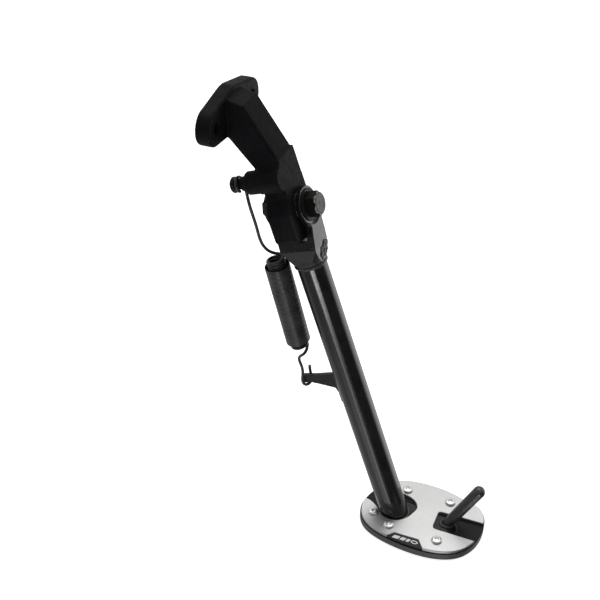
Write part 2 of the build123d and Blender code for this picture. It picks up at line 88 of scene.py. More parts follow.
class Surface:
    """A principled material and short calls for the nodes that feed it."""

    def __init__(self, name, colour, roughness, metallic=0.0, specular=0.5, coat=0.0, coat_roughness=0.1):
        self.material = bpy.data.materials.new(name)
        self.material.use_nodes = True
        self.tree = self.material.node_tree
        self.shader = self.tree.nodes["Principled BSDF"]
        socket(self.shader, "Base Color", (*colour, 1))
        socket(self.shader, "Roughness", roughness)
        socket(self.shader, "Metallic", metallic)
        socket(self.shader, "Specular IOR Level", specular)
        socket(self.shader, "Coat Weight", coat)
        socket(self.shader, "Coat Roughness", coat_roughness)
        self.coords = self.tree.nodes.new("ShaderNodeTexCoord").outputs["Object"]
        self.normal = None

    def link(self, source, target):
        self.tree.links.new(source, target)

    def mapped(self, stretch, turn):
        """Object coordinates, turned and then stretched."""
        if stretch == (1, 1, 1) and turn == (0, 0, 0):
            return self.coords
        turned = self.tree.nodes.new("ShaderNodeMapping")
        turned.inputs["Rotation"].default_value = turn
        self.link(self.coords, turned.inputs["Vector"])
        scaled = self.tree.nodes.new("ShaderNodeMapping")
        scaled.inputs["Scale"].default_value = stretch
        self.link(turned.outputs["Vector"], scaled.inputs["Vector"])
        return scaled.outputs["Vector"]

    def noise(self, per_metre, detail=3.0, rough=0.55, stretch=(1, 1, 1), turn=(0, 0, 0)):
        """Cloudy noise from 0 to 1, of a number of waves per metre."""
        node = self.tree.nodes.new("ShaderNodeTexNoise")
        node.inputs["Scale"].default_value = per_metre
        node.inputs["Detail"].default_value = detail
        node.inputs["Roughness"].default_value = rough
        self.link(self.mapped(stretch, turn), node.inputs["Vector"])
        return node.outputs["Fac"]

    def cells(self, per_metre):
        """Distance to the nearest of a scatter of points."""
        node = self.tree.nodes.new("ShaderNodeTexVoronoi")
        node.inputs["Scale"].default_value = per_metre
        self.link(self.coords, node.inputs["Vector"])
        return node.outputs["Distance"]

    def spread(self, fac, low, high, start=0.3, end=0.7):
        """From low to high as fac goes from start to end."""
        node = self.tree.nodes.new("ShaderNodeMapRange")
        node.inputs["From Min"].default_value = start
        node.inputs["From Max"].default_value = end
        node.inputs["To Min"].default_value = low
        node.inputs["To Max"].default_value = high
        self.link(fac, node.inputs["Value"])
        return node.outputs["Result"]

    def blend(self, fac, first, second):
        """Colour from first to second as fac goes from 0 to 1."""
        node = self.tree.nodes.new("ShaderNodeMix")
        node.data_type = "RGBA"
        for name, value in (("A", first), ("B", second)):
            entry = next(i for i in node.inputs if i.name == name and i.type == "RGBA")
            if isinstance(value, tuple):
                entry.default_value = (*value, 1)
            else:
                self.link(value, entry)
        self.link(fac, node.inputs["Factor"])
        return next(o for o in node.outputs if o.type == "RGBA")

    def edges(self, start, end):
        """1 on outward edges, from the mesh's own curvature."""
        node = self.tree.nodes.new("ShaderNodeNewGeometry")
        return self.spread(node.outputs["Pointiness"], 0.0, 1.0, start, end)

    def facing(self, axis, start, end):
        """1 where the surface faces along an axis of the object, 0 where it turns away."""
        node = self.tree.nodes.new("ShaderNodeVectorMath")
        node.operation = "DOT_PRODUCT"
        node.inputs[1].default_value = axis
        self.link(self.coords.node.outputs["Normal"], node.inputs[0])
        return self.spread(node.outputs["Value"], 0.0, 1.0, start, end)

    def times(self, a, b):
        """The product of two values, each a socket or a float."""
        node = self.tree.nodes.new("ShaderNodeMath")
        node.operation = "MULTIPLY"
        for index, value in enumerate((a, b)):
            if isinstance(value, float):
                node.inputs[index].default_value = value
            else:
                self.link(value, node.inputs[index])
        return node.outputs[0]

    def bump(self, height, strength, depth_mm):
        """Adds a layer of relief to the layers before it."""
        node = self.tree.nodes.new("ShaderNodeBump")
        node.inputs["Strength"].default_value = strength
        node.inputs["Distance"].default_value = depth_mm * MM
        self.link(height, node.inputs["Height"])
        if self.normal:
            self.link(self.normal, node.inputs["Normal"])
        self.normal = node.outputs["Normal"]
        self.link(self.normal, self.shader.inputs["Normal"])

    def colour(self, source):
        self.link(source, self.shader.inputs["Base Color"])

    def roughness(self, source):
        self.link(source, self.shader.inputs["Roughness"])

    def specular(self, source):
        self.link(source, self.shader.inputs["Specular IOR Level"])


# ---------------------------------------------------------------- finishes
def gloss_black():
    """Sprayed gloss black: a slight orange peel, specks of dust in the lacquer and faint cloudiness."""
    s = Surface("gloss_black", (0.008, 0.008, 0.009), 0.16, specular=0.42, coat=0.25, coat_roughness=0.05)
    cloud = s.noise(55, 4)
    s.colour(s.blend(s.spread(cloud, 0, 1), (0.006, 0.006, 0.007), (0.012, 0.012, 0.0135)))
    s.roughness(s.spread(s.noise(240, 5, 0.65), 0.13, 0.24))
    s.bump(s.noise(420, 2), 0.10, 0.12)
    s.bump(s.spread(s.cells(520), 1, 0, 0.02, 0.12), 0.18, 0.03)
    return s.material


def peg_black():
    """Black paint on the peg, rubbed to a satin by boots."""
    s = Surface("peg_black", (0.022, 0.022, 0.024), 0.3, specular=0.6, coat=0.3, coat_roughness=0.12)
    rubbed = s.noise(120, 5, 0.65)
    s.colour(s.blend(s.spread(rubbed, 0, 1, 0.35, 0.65), (0.016, 0.016, 0.018), (0.038, 0.038, 0.041)))
    s.roughness(s.spread(s.noise(420, 4, 0.7), 0.24, 0.40))
    s.bump(s.noise(900, 3), 0.12, 0.06)
    return s.material


def satin_black():
    """Satin black over steel: powder-coat grain and rubbed patches."""
    s = Surface("satin_black", (0.01, 0.01, 0.011), 0.4, specular=0.28)
    patch = s.noise(90, 4, 0.6)
    s.colour(s.blend(s.spread(patch, 0, 1), (0.008, 0.008, 0.009), (0.018, 0.018, 0.019)))
    s.roughness(s.spread(s.noise(300, 4, 0.7), 0.33, 0.5))
    s.bump(s.noise(1500, 3), 0.25, 0.08)
    return s.material


def forging():
    """Painted forging: soft hammered swell under the paint and edges worn lighter."""
    s = Surface("painted_forging", (0.008, 0.008, 0.010), 0.3, specular=0.45, coat=0.3, coat_roughness=0.12)
    cloud = s.spread(s.noise(70, 5, 0.6), 0, 1)
    base = s.blend(cloud, (0.003, 0.003, 0.004), (0.008, 0.008, 0.0095))
    worn = s.times(s.edges(0.56, 0.64), s.spread(s.noise(260, 4, 0.7), 0, 1, 0.46, 0.66))
    s.colour(s.blend(worn, base, (0.10, 0.10, 0.105)))
    s.roughness(s.spread(s.noise(320, 5, 0.7), 0.14, 0.26))
    s.bump(s.noise(190, 4, 0.6), 0.20, 0.25)
    s.bump(s.noise(1300, 3), 0.18, 0.06)
    return s.material


def casting():
    """Sand-cast bracket under satin black paint: coarse grain, small pits and worn edges."""
    s = Surface("cast_black", (0.01, 0.01, 0.011), 0.42, specular=0.06)
    cloud = s.spread(s.noise(60, 5, 0.6), 0, 1)
    base = s.blend(cloud, (0.003, 0.003, 0.004), (0.007, 0.007, 0.008))
    worn = s.times(s.edges(0.54, 0.62), s.spread(s.noise(180, 4, 0.7), 0, 1, 0.45, 0.65))
    s.colour(s.blend(worn, base, (0.05, 0.05, 0.052)))
    s.roughness(s.spread(s.noise(240, 5, 0.7), 0.38, 0.62))
    s.bump(s.noise(520, 5, 0.65), 0.5, 0.35)
    s.bump(s.spread(s.cells(420), 0, 1, 0.05, 0.25), 0.25, 0.12)
    return s.material


def weld_paint():
    """Painted weld: gloss over an uneven, finely grained bead."""
    s = Surface("painted_weld", (0.014, 0.014, 0.015), 0.25, specular=0.5, coat=0.2, coat_roughness=0.1)
    s.colour(s.blend(s.spread(s.noise(350, 4, 0.7), 0, 1), (0.010, 0.010, 0.011), (0.034, 0.033, 0.034)))
    s.roughness(s.spread(s.noise(500, 4, 0.7), 0.2, 0.42))
    s.bump(s.noise(900, 4, 0.65), 0.35, 0.18)
    return s.material


def brushed_plate():
    """Satin aluminium: fine brushing along the plate, broader lines under it and faint smears."""
    s = Surface("brushed_aluminium", (0.62, 0.62, 0.615), 0.4, metallic=1.0)
    turn = (0, 0, math.radians(17))
    fine = s.noise(1.0, 5, 0.7, stretch=(2600, 45, 60), turn=turn)
    coarse = s.noise(1.0, 3, 0.6, stretch=(620, 14, 60), turn=turn)
    smear = s.noise(38, 4, 0.6)
    tone = s.blend(s.spread(fine, 0, 1, 0.36, 0.64), (0.62, 0.62, 0.615), (0.67, 0.67, 0.665))
    s.colour(s.blend(s.times(s.spread(smear, 0, 1, 0.35, 0.7), 0.35), tone, (0.54, 0.535, 0.525)))
    s.roughness(s.spread(s.times(coarse, s.spread(smear, 0.8, 1.2)), 0.36, 0.46, 0.3, 0.7))
    s.bump(fine, 0.10, 0.02)
    s.bump(coarse, 0.02, 0.03)
    return s.material


def stainless():
    """Polished stainless, faintly clouded, with fine lines across it."""
    s = Surface("stainless", (0.74, 0.735, 0.72), 0.2, metallic=1.0)
    s.colour(s.blend(s.spread(s.noise(900, 4, 0.7), 0, 1), (0.82, 0.815, 0.80), (0.94, 0.935, 0.92)))
    s.roughness(s.spread(s.noise(1500, 4, 0.7), 0.24, 0.40))
    s.bump(s.noise(1.0, 3, 0.6, stretch=(500, 4200, 500), turn=(0, 0, 0.6)), 0.18, 0.03)
    return s.material


def phosphated():
    """Dark phosphate on a steel bolt: matte grainy end faces, a painted highlight round the chamfers and painted
    shade that makes the flanks near black.
    """
    s = Surface("phosphated_steel", (0.05, 0.046, 0.042), 0.45, specular=0.5)
    speck = s.spread(s.noise(1400, 4, 0.75), 0, 1, 0.35, 0.65)
    outward = tuple(PIVOT_AXIS)
    lit_end_face = s.facing(outward, 0.15, 0.85)
    bare = s.blend(speck, (0.030, 0.028, 0.025), (0.080, 0.075, 0.069))
    # painted shade: faces that turn away from the outward axis, the flanks, are coloured near black, and further
    # down they also mirror less
    base = s.blend(lit_end_face, (0.004, 0.004, 0.0035), bare)
    # painted highlight: the chamfers between the end face and the flanks are coloured light all round
    rubbed = s.times(s.facing(outward, 0.25, 0.45), s.spread(lit_end_face, 1, 0, 0.72, 1.0))
    s.colour(s.blend(rubbed, base, (0.26, 0.25, 0.24)))
    s.specular(s.spread(lit_end_face, 0.10, 0.50, 0, 1))
    s.roughness(s.spread(s.noise(600, 4, 0.7), 0.36, 0.58))
    s.bump(s.noise(1800, 3, 0.7), 0.3, 0.05)
    return s.material


def oiled():
    """Blackened washer under a patchy film of oil."""
    s = Surface("oiled_steel", (0.008, 0.008, 0.007), 0.3, specular=0.12)
    film = s.spread(s.noise(420, 5, 0.7), 0, 1)
    s.colour(s.blend(film, (0.004, 0.004, 0.004), (0.014, 0.013, 0.011)))
    s.roughness(s.spread(s.noise(700, 4, 0.7), 0.22, 0.5))
    s.bump(s.noise(900, 4, 0.7), 0.25, 0.05)
    return s.material


def zinc():
    """Bright zinc plate with a dull bloom."""
    s = Surface("zinc_plate", (0.5, 0.5, 0.5), 0.35, metallic=1.0)
    bloom = s.spread(s.noise(220, 5, 0.7), 0, 1)
    s.colour(s.blend(bloom, (0.36, 0.37, 0.37), (0.60, 0.60, 0.585)))
    s.roughness(s.spread(s.noise(400, 4, 0.7), 0.28, 0.5))
    s.bump(s.noise(1500, 3), 0.15, 0.03)
    return s.material


def bronze():
    """Sintered bronze: fine pores, brown in the recesses."""
    s = Surface("sintered_bronze", (0.42, 0.28, 0.13), 0.42, metallic=1.0)
    pores = s.spread(s.cells(1900), 0, 1, 0.05, 0.4)
    s.colour(s.blend(pores, (0.20, 0.12, 0.06), (0.46, 0.31, 0.15)))
    s.roughness(s.spread(s.noise(700, 4, 0.7), 0.34, 0.55))
    s.bump(pores, 0.3, 0.04)
    return s.material


def anodised():
    """Matte black anodised base: blasted grain, painted shade that keeps the upward faces near black, and a
    lighter rim with a faint bloom.
    """
    s = Surface("black_anodised", (0.02, 0.02, 0.021), 0.45, specular=0.6)
    painted_shade_on_top = s.facing((0, 0, 1), 0.3, 0.9)
    rim = s.blend(s.spread(s.noise(75, 5, 0.6), 0, 1), (0.020, 0.020, 0.021), (0.040, 0.040, 0.042))
    # painted shade: faces that turn up are coloured near black, darker than the rim, and below they mirror less;
    # the cloudy bloom on the rim is the finish's own
    s.colour(s.blend(painted_shade_on_top, rim, (0.006, 0.006, 0.0065)))
    s.specular(s.spread(painted_shade_on_top, 0.7, 0.22, 0, 1))
    s.roughness(s.spread(s.noise(500, 4, 0.7), 0.36, 0.52))
    s.bump(s.noise(2600, 2, 0.7), 0.3, 0.05)
    return s.material


def moulding():
    """Matte black moulded plastic with a spark-eroded grain."""
    s = Surface("moulded_black", (0.010, 0.010, 0.010), 0.45, specular=0.35)
    s.colour(s.blend(s.spread(s.noise(400, 3), 0, 1), (0.007, 0.007, 0.007), (0.013, 0.013, 0.013)))
    s.roughness(s.spread(s.noise(900, 3, 0.7), 0.38, 0.58))
    s.bump(s.cells(2400), 0.2, 0.05)
    return s.material


def white_ink():
    """White pad print, a little thin in places."""
    s = Surface("white_print", (0.8, 0.8, 0.8), 0.5, specular=0.4)
    cover = s.spread(s.noise(1200, 4, 0.7), 0, 1, 0.3, 0.5)
    s.colour(s.blend(cover, (0.66, 0.66, 0.67), (0.88, 0.88, 0.88)))
    s.roughness(s.spread(s.noise(800, 3), 0.42, 0.6))
    s.bump(s.noise(1600, 2), 0.12, 0.03)
    return s.material


def spring_steel():
    """Black coated spring wire, scuffed to steel in fine flecks."""
    s = Surface("spring_wire", (0.02, 0.02, 0.02), 0.35, specular=0.5)
    fleck = s.spread(s.noise(1300, 5, 0.8), 0, 1, 0.66, 0.74)
    s.colour(s.blend(fleck, (0.018, 0.018, 0.018), (0.17, 0.165, 0.16)))
    s.roughness(s.spread(s.noise(600, 4, 0.7), 0.26, 0.45))
    s.bump(s.noise(1700, 3), 0.2, 0.04)
    return s.material


def rubber():
    """Semi-gloss black sleeve: fine skin grain and a dusty bloom."""
    s = Surface("sleeve_rubber", (0.016, 0.016, 0.018), 0.38, specular=0.42)
    s.colour(s.blend(s.spread(s.noise(80, 4, 0.6), 0, 1), (0.012, 0.012, 0.013), (0.028, 0.028, 0.030)))
    s.roughness(s.spread(s.noise(260, 5, 0.7), 0.30, 0.44))
    s.bump(s.noise(1500, 3, 0.7), 0.16, 0.06)
    return s.material


MATERIALS = {
    "gloss_black_paint": gloss_black(),
    "satin_black_paint": satin_black(),
    "grey_forging": forging(),
    "black_casting": casting(),
    "weld_black": weld_paint(),
    "brushed_aluminium": brushed_plate(),
    "stainless": stainless(),
    "dark_steel": phosphated(),
    "oiled_steel": oiled(),
    "plain_steel": zinc(),
    "bronze": bronze(),
    "black_anodised": anodised(),
    "black_moulding": moulding(),
    "white_print": white_ink(),
    "spring_wire": spring_steel(),
    "black_rubber": rubber(),
}

for part in frame["record"]["subparts"]:
    node = frame["nodes"][part["node"]]
    for slot in node.material_slots:
        slot.material = MATERIALS[part["material_slot"]]
frame["nodes"]["kick_peg"].material_slots[0].material = peg_black()


# ---------------------------------------------------------------- mesh helpers
SAME_POINT = 1e-6  # metres


def piece(name, mesh, body, slot, *nodes):
    """Links a finished mesh as a piece that rides on a body and stands for CAD nodes."""
    obj = bpy.data.objects.new(name, mesh)
    bpy.context.scene.collection.objects.link(obj)
    mesh.materials.clear()
    mesh.materials.append(MATERIALS[slot])
    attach(obj, body)
    if nodes:
        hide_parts(*nodes)
    return obj


def smooth(mesh):
    """Smooth shading all over."""
    mesh.polygons.foreach_set("use_smooth", [True] * len(mesh.polygons))


def creased(mesh, angle):
    """Smooth shading, with creases where faces meet at more than an angle in degrees."""
    smooth(mesh)
    mesh.set_sharp_from_angle(angle=math.radians(angle))


def grid_mesh(name, rings, closed_along=False):
    """A skin over rings of the same number of points; each ring closes on itself.

    The last ring joins the first when the skin is closed along, and each end has a cap when it isn't.
    """
    count = len(rings[0])
    verts = [point for ring in rings for point in ring]
    faces = []
    last = len(rings) if closed_along else len(rings) - 1
    for i in range(last):
        a, b = i * count, ((i + 1) % len(rings)) * count
        for j in range(count):
            k = (j + 1) % count
            faces.append((a + j, a + k, b + k, b + j))
    if not closed_along:
        for ring, flip in ((0, True), (len(rings) - 1, False)):
            start = ring * count
            centre = len(verts)
            verts.append(sum((Vector(p) for p in rings[ring]), Vector()) / count)
            for j in range(count):
                first, second = start + j, start + (j + 1) % count
                faces.append((centre, second, first) if flip else (centre, first, second))
    mesh = bpy.data.meshes.new(name)
    mesh.from_pydata([tuple(v) for v in verts], [], faces)
    bm = bmesh.new()
    bm.from_mesh(mesh)
    bmesh.ops.recalc_face_normals(bm, faces=bm.faces)
    bm.to_mesh(mesh)
    bm.free()
    return mesh


def hexagon(apothem, angle):
    """Distance from the middle of a hexagon to its side."""
    third = math.pi / 3
    return apothem / math.cos(angle % third - third / 2)


def turned(name, profile, matrix, segments=96):
    """A turned piece from (radius, height) steps in mm; a negative radius is half across a hexagon's flats."""
    rings = []
    for radius, height in profile:
        ring = []
        for step in range(segments):
            angle = 2 * math.pi * step / segments
            reach = radius if radius >= 0 else hexagon(-radius, angle)
            point = Vector((reach * math.cos(angle), reach * math.sin(angle), height))
            ring.append(matrix @ (point * MM))
        rings.append(ring)
    return grid_mesh(name, rings)


def join(name, meshes):
    """One mesh from several."""
    bm = bmesh.new()
    for mesh in meshes:
        bm.from_mesh(mesh)
    joined = bpy.data.meshes.new(name)
    bm.to_mesh(joined)
    bm.free()
    return joined


def finished(obj):
    """The mesh of an object with its modifiers applied, and the object removed."""
    depsgraph = bpy.context.evaluated_depsgraph_get()
    mesh = bpy.data.meshes.new_from_object(obj.evaluated_get(depsgraph))
    bpy.data.objects.remove(obj)
    return mesh


def softened(node, name, voxel_mm, rounds, swell_mm, swell_per_metre=90):
    """A CAD solid with its edges rounded, as on a forging or casting, and a slight swell in its faces."""
    obj = bpy.data.objects.new(name, frame["nodes"][node].data.copy())
    bpy.context.scene.collection.objects.link(obj)
    remesh = obj.modifiers.new("remesh", "REMESH")
    remesh.mode = "VOXEL"
    remesh.voxel_size = voxel_mm * MM
    relax = obj.modifiers.new("relax", "SMOOTH")
    relax.iterations = rounds
    relax.factor = 0.5
    bpy.context.view_layer.update()
    mesh = finished(obj)
    normals = [vert.normal.copy() for vert in mesh.vertices]
    for vert, normal in zip(mesh.vertices, normals):
        spot = vert.co * swell_per_metre
        amount = noise.noise(spot) + 0.5 * noise.noise(spot * 2.3)
        vert.co += normal * (amount * swell_mm * MM)
    smooth(mesh)
    return mesh


def axis_of(node):
    """(middle, upward direction, half length) of a long round CAD node, in metres."""
    points = np.array([v.co for v in frame["nodes"][node].data.vertices], float)
    middle = (points.min(0) + points.max(0)) / 2
    direction = np.linalg.svd(points - middle, full_matrices=False)[2][0]
    if direction[2] < 0:
        direction = -direction
    along = points @ direction
    middle = middle + direction * ((along.max() + along.min()) / 2 - middle @ direction)
    return Vector(middle), Vector(direction), (along.max() - along.min()) / 2


def box_middle(node):
    """Middle of the box round a CAD node."""
    low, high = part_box(node)
    return (low + high) / 2


def shell_middles(mesh):
    """Middles of the boxes round the separate shells of a mesh, ordered by x and then y."""
    bm = bmesh.new()
    bm.from_mesh(mesh)
    bmesh.ops.remove_doubles(bm, verts=bm.verts, dist=SAME_POINT)
    middles = []
    left = set(bm.verts)
    while left:
        shell, edge = set(), [left.pop()]
        while edge:
            vert = edge.pop()
            shell.add(vert)
            for link in vert.link_edges:
                other = link.other_vert(vert)
                if other in left:
                    left.discard(other)
                    edge.append(other)
        low = Vector([min(v.co[k] for v in shell) for k in range(3)])
        high = Vector([max(v.co[k] for v in shell) for k in range(3)])
        middles.append((low + high) / 2)
    bm.free()
    return sorted(middles, key=lambda m: (round(m.x, 4), round(m.y, 4)))


def leg_point(x, y, z):
    """A point in the leg's axes, in mm, in the row frame."""
    return LEG @ (Vector((x, y, z)) * MM)


def leg_vector(x, y, z):
    """A direction in the leg's axes, in the row frame."""
    return (LEG.to_3x3() @ Vector((x, y, z))).normalized()


# ---------------------------------------------------------------- fork, bracket, stamped foot, gusset
piece("forged_fork", softened("leg_fork", "forged_fork", 0.32, 7, 0.10, 120),
      "leg", "grey_forging", "leg_fork")
piece("cast_bracket", softened("mounting_bracket", "cast_bracket", 0.5, 7, 0.12),
      "bracket", "black_casting", "mounting_bracket")
piece("pressed_foot", softened("stamped_foot", "pressed_foot", 0.3, 9, 0.06),
      "leg", "gloss_black_paint", "stamped_foot")
piece("spring_gusset", softened("spring_tab", "spring_gusset", 0.22, 5, 0.03, 200),
      "leg", "satin_black_paint", "spring_tab")


# ---------------------------------------------------------------- weld beads
BEAD_SIDES = 20
BEAD_CURL = 0.9  # how far a scale's underside lags behind its crest, in bead radii
BEAD_HEIGHT = 0.82  # a bead stands a little lower than it is wide
BEAD_UNEVEN = 0.10
UNEVEN_PER_METRE = 260
END_TAPER = 0.35  # an open bead starts and ends at this share of its size
END_STEPS = 5


def bead(name, path, normals, radius_mm, ripple_mm, pitch_mm, closed, seed):
    """A weld bead: overlapping scales along a path, each curved back like a fish scale."""
    count = len(path)
    rings = []
    travelled = 0.0
    for i in range(count):
        ahead = path[(i + 1) % count] if closed or i + 1 < count else path[i]
        behind = path[i - 1] if closed or i > 0 else path[i]
        along = (ahead - behind).normalized()
        if i:
            travelled += (path[i] - path[i - 1]).length / MM
        out = normals[i] - along * normals[i].dot(along)
        out.normalize()
        across = along.cross(out)
        taper = 1.0
        if not closed:
            from_end = min(i, count - 1 - i) / END_STEPS
            taper = min(1.0, END_TAPER + (1 - END_TAPER) * math.sqrt(from_end))
        ring = []
        for j in range(BEAD_SIDES):
            angle = 2 * math.pi * j / BEAD_SIDES
            shift = travelled - BEAD_CURL * radius_mm * (1 - math.cos(angle)) / 2
            wave = (shift / pitch_mm) % 1.0
            scale = 1 - (2 * wave - 1) ** 2
            spot = path[i] * UNEVEN_PER_METRE + Vector((seed, j * 0.13, 0))
            uneven = noise.noise(spot) * BEAD_UNEVEN
            reach = (radius_mm * (1 + uneven) + ripple_mm * (scale - 0.5)) * taper
            outward = out * math.cos(angle) * BEAD_HEIGHT + across * math.sin(angle)
            ring.append(path[i] + outward * (reach * MM))
        rings.append(ring)
    mesh = grid_mesh(name, rings, closed_along=closed)
    smooth(mesh)
    return mesh


# slow waves that the round bead wanders by: (size in mm, waves per turn, phase)
RING_WANDER = ((0.35, 3, 0.0), (0.2, 7, 1.0))
RING_STEPS = 220


def fork_bead():
    """The bead round the tube where it enters the fork."""
    points, normals = [], []
    radius = TUBE_R + 0.1
    for i in range(RING_STEPS):
        angle = 2 * math.pi * i / RING_STEPS
        lift = sum(size * math.sin(waves * angle + phase) for size, waves, phase in RING_WANDER)
        points.append(leg_point(radius * math.cos(angle), FORK_END + 0.7 + lift, radius * math.sin(angle)))
        normals.append(leg_vector(math.cos(angle), 0, math.sin(angle)))
    return bead("fork_bead", points, normals, 1.5, 0.35, 2.1, True, 1.0)


# runs of weld across the outer ear, where it closes in to the neck: (x, start, end) in the leg's axes
EAR_RUNS = ((-6.4, 33.0, 45.5), (-1.8, 32.0, 46.0), (2.8, 34.5, 46.5))
EAR_RUN_STEPS = 50
EAR_RUN_SWAY = 0.9
EAR_FACE = 14.2
EAR_BEND = 33.0  # from here down the leg, the ear's face slopes in to the neck
EAR_SLOPE = 0.20
EAR_CROWN = 0.012  # the face falls away by this times x squared


def ear_weld():
    """Runs side by side that sway a little, as one mesh."""
    runs = []
    for index, (x, start, end) in enumerate(EAR_RUNS):
        points = []
        for i in range(EAR_RUN_STEPS):
            y = start + (end - start) * i / (EAR_RUN_STEPS - 1)
            sway = EAR_RUN_SWAY * math.sin(i * 0.34 + 2 * index)
            z = EAR_FACE - max(0.0, y - EAR_BEND) * EAR_SLOPE - EAR_CROWN * x * x
            points.append(leg_point(x + sway, y, z))
        normals = [leg_vector(-0.1, 0.2, 1)] * EAR_RUN_STEPS
        runs.append(bead("run", points, normals, 2.4, 0.7, 3.3, False, 11.0 + index))
    return join("ear_weld", runs)


TAB_WELD_X = 2.5
TAB_WELD_START = 154.5
TAB_WELD_LENGTH = 31
TAB_WELD_STEPS = 130


def gusset_beads():
    """A straight bead along each side of the spring's gusset, on the back of the tube."""
    beads = []
    for side in (-1, 1):
        points = []
        for i in range(TAB_WELD_STEPS + 1):
            y = TAB_WELD_START + TAB_WELD_LENGTH * i / TAB_WELD_STEPS
            points.append(leg_point(side * TAB_WELD_X, y, -TUBE_R + 0.15))
        normals = [leg_vector(side * 0.8, 0, -1)] * len(points)
        beads.append(bead("tab_bead", points, normals, 1.45, 0.35, 1.9, False, 2.0 + side))
    return join("gusset_beads", beads)


FOOT_STEPS = 180
FOOT_RIPPLE = 0.2


def bar_bead(name, middle, axis, radius, height, bead_mm, pitch_mm, seed):
    """A bead where a leaning bar of a radius in mm stands on a flat face at a height in metres."""
    points, normals = [], []
    side = axis.cross(Vector((0, 0, 1))).normalized()
    front = side.cross(axis).normalized()
    for i in range(FOOT_STEPS):
        angle = 2 * math.pi * i / FOOT_STEPS
        out = side * math.cos(angle) + front * math.sin(angle)
        point = middle + out * (radius * MM)
        points.append(point + axis * ((height - point.z) / axis.z))
        normals.append((Vector((out.x, out.y, 0)).normalized() * 0.6 + Vector((0, 0, 1))).normalized())
    return bead(name, points, normals, bead_mm, FOOT_RIPPLE, pitch_mm, True, seed)


piece("fork_bead", fork_bead(), "leg", "weld_black", "fork_weld")
piece("ear_weld", ear_weld(), "leg", "weld_black")
piece("gusset_beads", gusset_beads(), "leg", "weld_black", "tab_welds")

tube_foot = bar_bead("foot_bead", leg_point(0, 300, 0), leg_vector(0, 1, 0), TUBE_R + 0.2,
                     TOP - 2.9 * MM, bead_mm=1.7, pitch_mm=2.6, seed=5.0)
piece("foot_bead", tube_foot, "leg", "weld_black", "foot_weld")

peg_foot = bar_bead("peg_bead", box_middle("peg_weld"), axis_of("kick_peg")[1], 5.0,
                    TOP - 2.7 * MM, bead_mm=1.3, pitch_mm=2.0, seed=7.0)
piece("peg_bead", peg_foot, "leg", "weld_black", "peg_weld")


# ---------------------------------------------------------------- pivot bolt
BOLT_END = -23.0
BOLT_THREAD_R = 4.3
BOLT_SHOULDER_R = 6.0


def pivot_bolt():
    """Threaded end, shouldered shank and hexagon head."""
    thread = [(BOLT_THREAD_R - 0.3, BOLT_END), (BOLT_THREAD_R, BOLT_END + 0.6), (BOLT_THREAD_R, -EAR_OUTER)]
    shoulder = [(BOLT_SHOULDER_R, -EAR_OUTER), (BOLT_SHOULDER_R, BOLT_SEAT)]
    underside = [(-BOLT_HEAD_R + 0.2, BOLT_SEAT), (-BOLT_HEAD_R, BOLT_SEAT + 0.2)]
    # (radius, depth below the end face)
    chamfer = [(-BOLT_HEAD_R, 1.3), (BOLT_HEAD_R - 0.1, 0.5)]
    rim = [(BOLT_HEAD_R - 0.6, 0.08), (BOLT_HEAD_R - 1.0, 0), (6.2, 0)]
    dish = [(5.9, 0.25), (2.4, 0.3)]
    centre_mark = [(2.1, 0.1), (1.2, 0.1), (0.9, 0.35), (0.2, 0.4)]
    crown = [(radius, BOLT_HEAD_FACE - depth) for radius, depth in chamfer + rim + dish + centre_mark]
    place = LEG @ Matrix.Rotation(BOLT_HEAD_TURN, 4, "Z")
    mesh = turned("pivot_bolt_shouldered", thread + shoulder + underside + crown, place)
    creased(mesh, 32)
    return mesh


piece("pivot_bolt_shouldered", pivot_bolt(), "leg", "dark_steel", "pivot_bolt")


# ---------------------------------------------------------------- button-head screws
SCREW_R = 2.5
SCREW_LENGTH = 8.5
SCREW_RIM = 0.45  # height of the head's upright rim
SCREW_FLAT_R = 2.3  # radius of the flat that the dome ends in
SCREW_DOME_STEPS = 9
SOCKET_R = 1.6  # half across the flats
SOCKET_DEPTH = 1.7


def button_screws():
    """A domed head with a hexagon socket on each screw of the plate, each turned its own way."""
    profile = [(SCREW_R, -SCREW_LENGTH), (SCREW_R, -0.2)]
    profile += [(SCREW_HEAD_R - 0.25, 0), (SCREW_HEAD_R, 0.2), (SCREW_HEAD_R, SCREW_RIM)]
    for i in range(1, SCREW_DOME_STEPS):
        angle = math.radians(90 * i / SCREW_DOME_STEPS)
        radius = SCREW_HEAD_R - (SCREW_HEAD_R - SCREW_FLAT_R) * (1 - math.cos(angle))
        profile.append((radius, SCREW_RIM + (SCREW_HEAD_H - SCREW_RIM) * math.sin(angle)))
    # (radius, depth below the top)
    opening = [(SCREW_FLAT_R - 0.25, 0), (-SOCKET_R - 0.15, 0.25), (-SOCKET_R, 0.5)]
    bottom = [(-SOCKET_R, SOCKET_DEPTH), (0.5, SOCKET_DEPTH + 0.3)]
    profile += [(radius, SCREW_HEAD_H - depth) for radius, depth in opening + bottom]
    screws = []
    for index, middle in enumerate(shell_middles(frame["nodes"]["plate_screws"].data)):
        place = Matrix.Translation((middle.x, middle.y, TOP)) @ Matrix.Rotation(0.7 * index, 4, "Z")
        screws.append(turned("button", profile, place, 60))
    mesh = join("button_screws", screws)
    creased(mesh, 35)
    return mesh


piece("button_screws", button_screws(), "leg", "stainless", "plate_screws")


# ---------------------------------------------------------------- spring sleeve
SLEEVE_R = 10.2
SLEEVE_BORE = 9.65
SLEEVE_LIP = 0.8
SLEEVE_STEP = 0.22
SLEEVE_SEGMENTS = 96
SLEEVE_DENT = 0.05
RIB_BASE = SLEEVE_R - 0.10
RIB_HEIGHT = 0.045
RIB_PITCH = 4.4
RIB_FADE = 3.0  # the ribs fade out over this length at each end


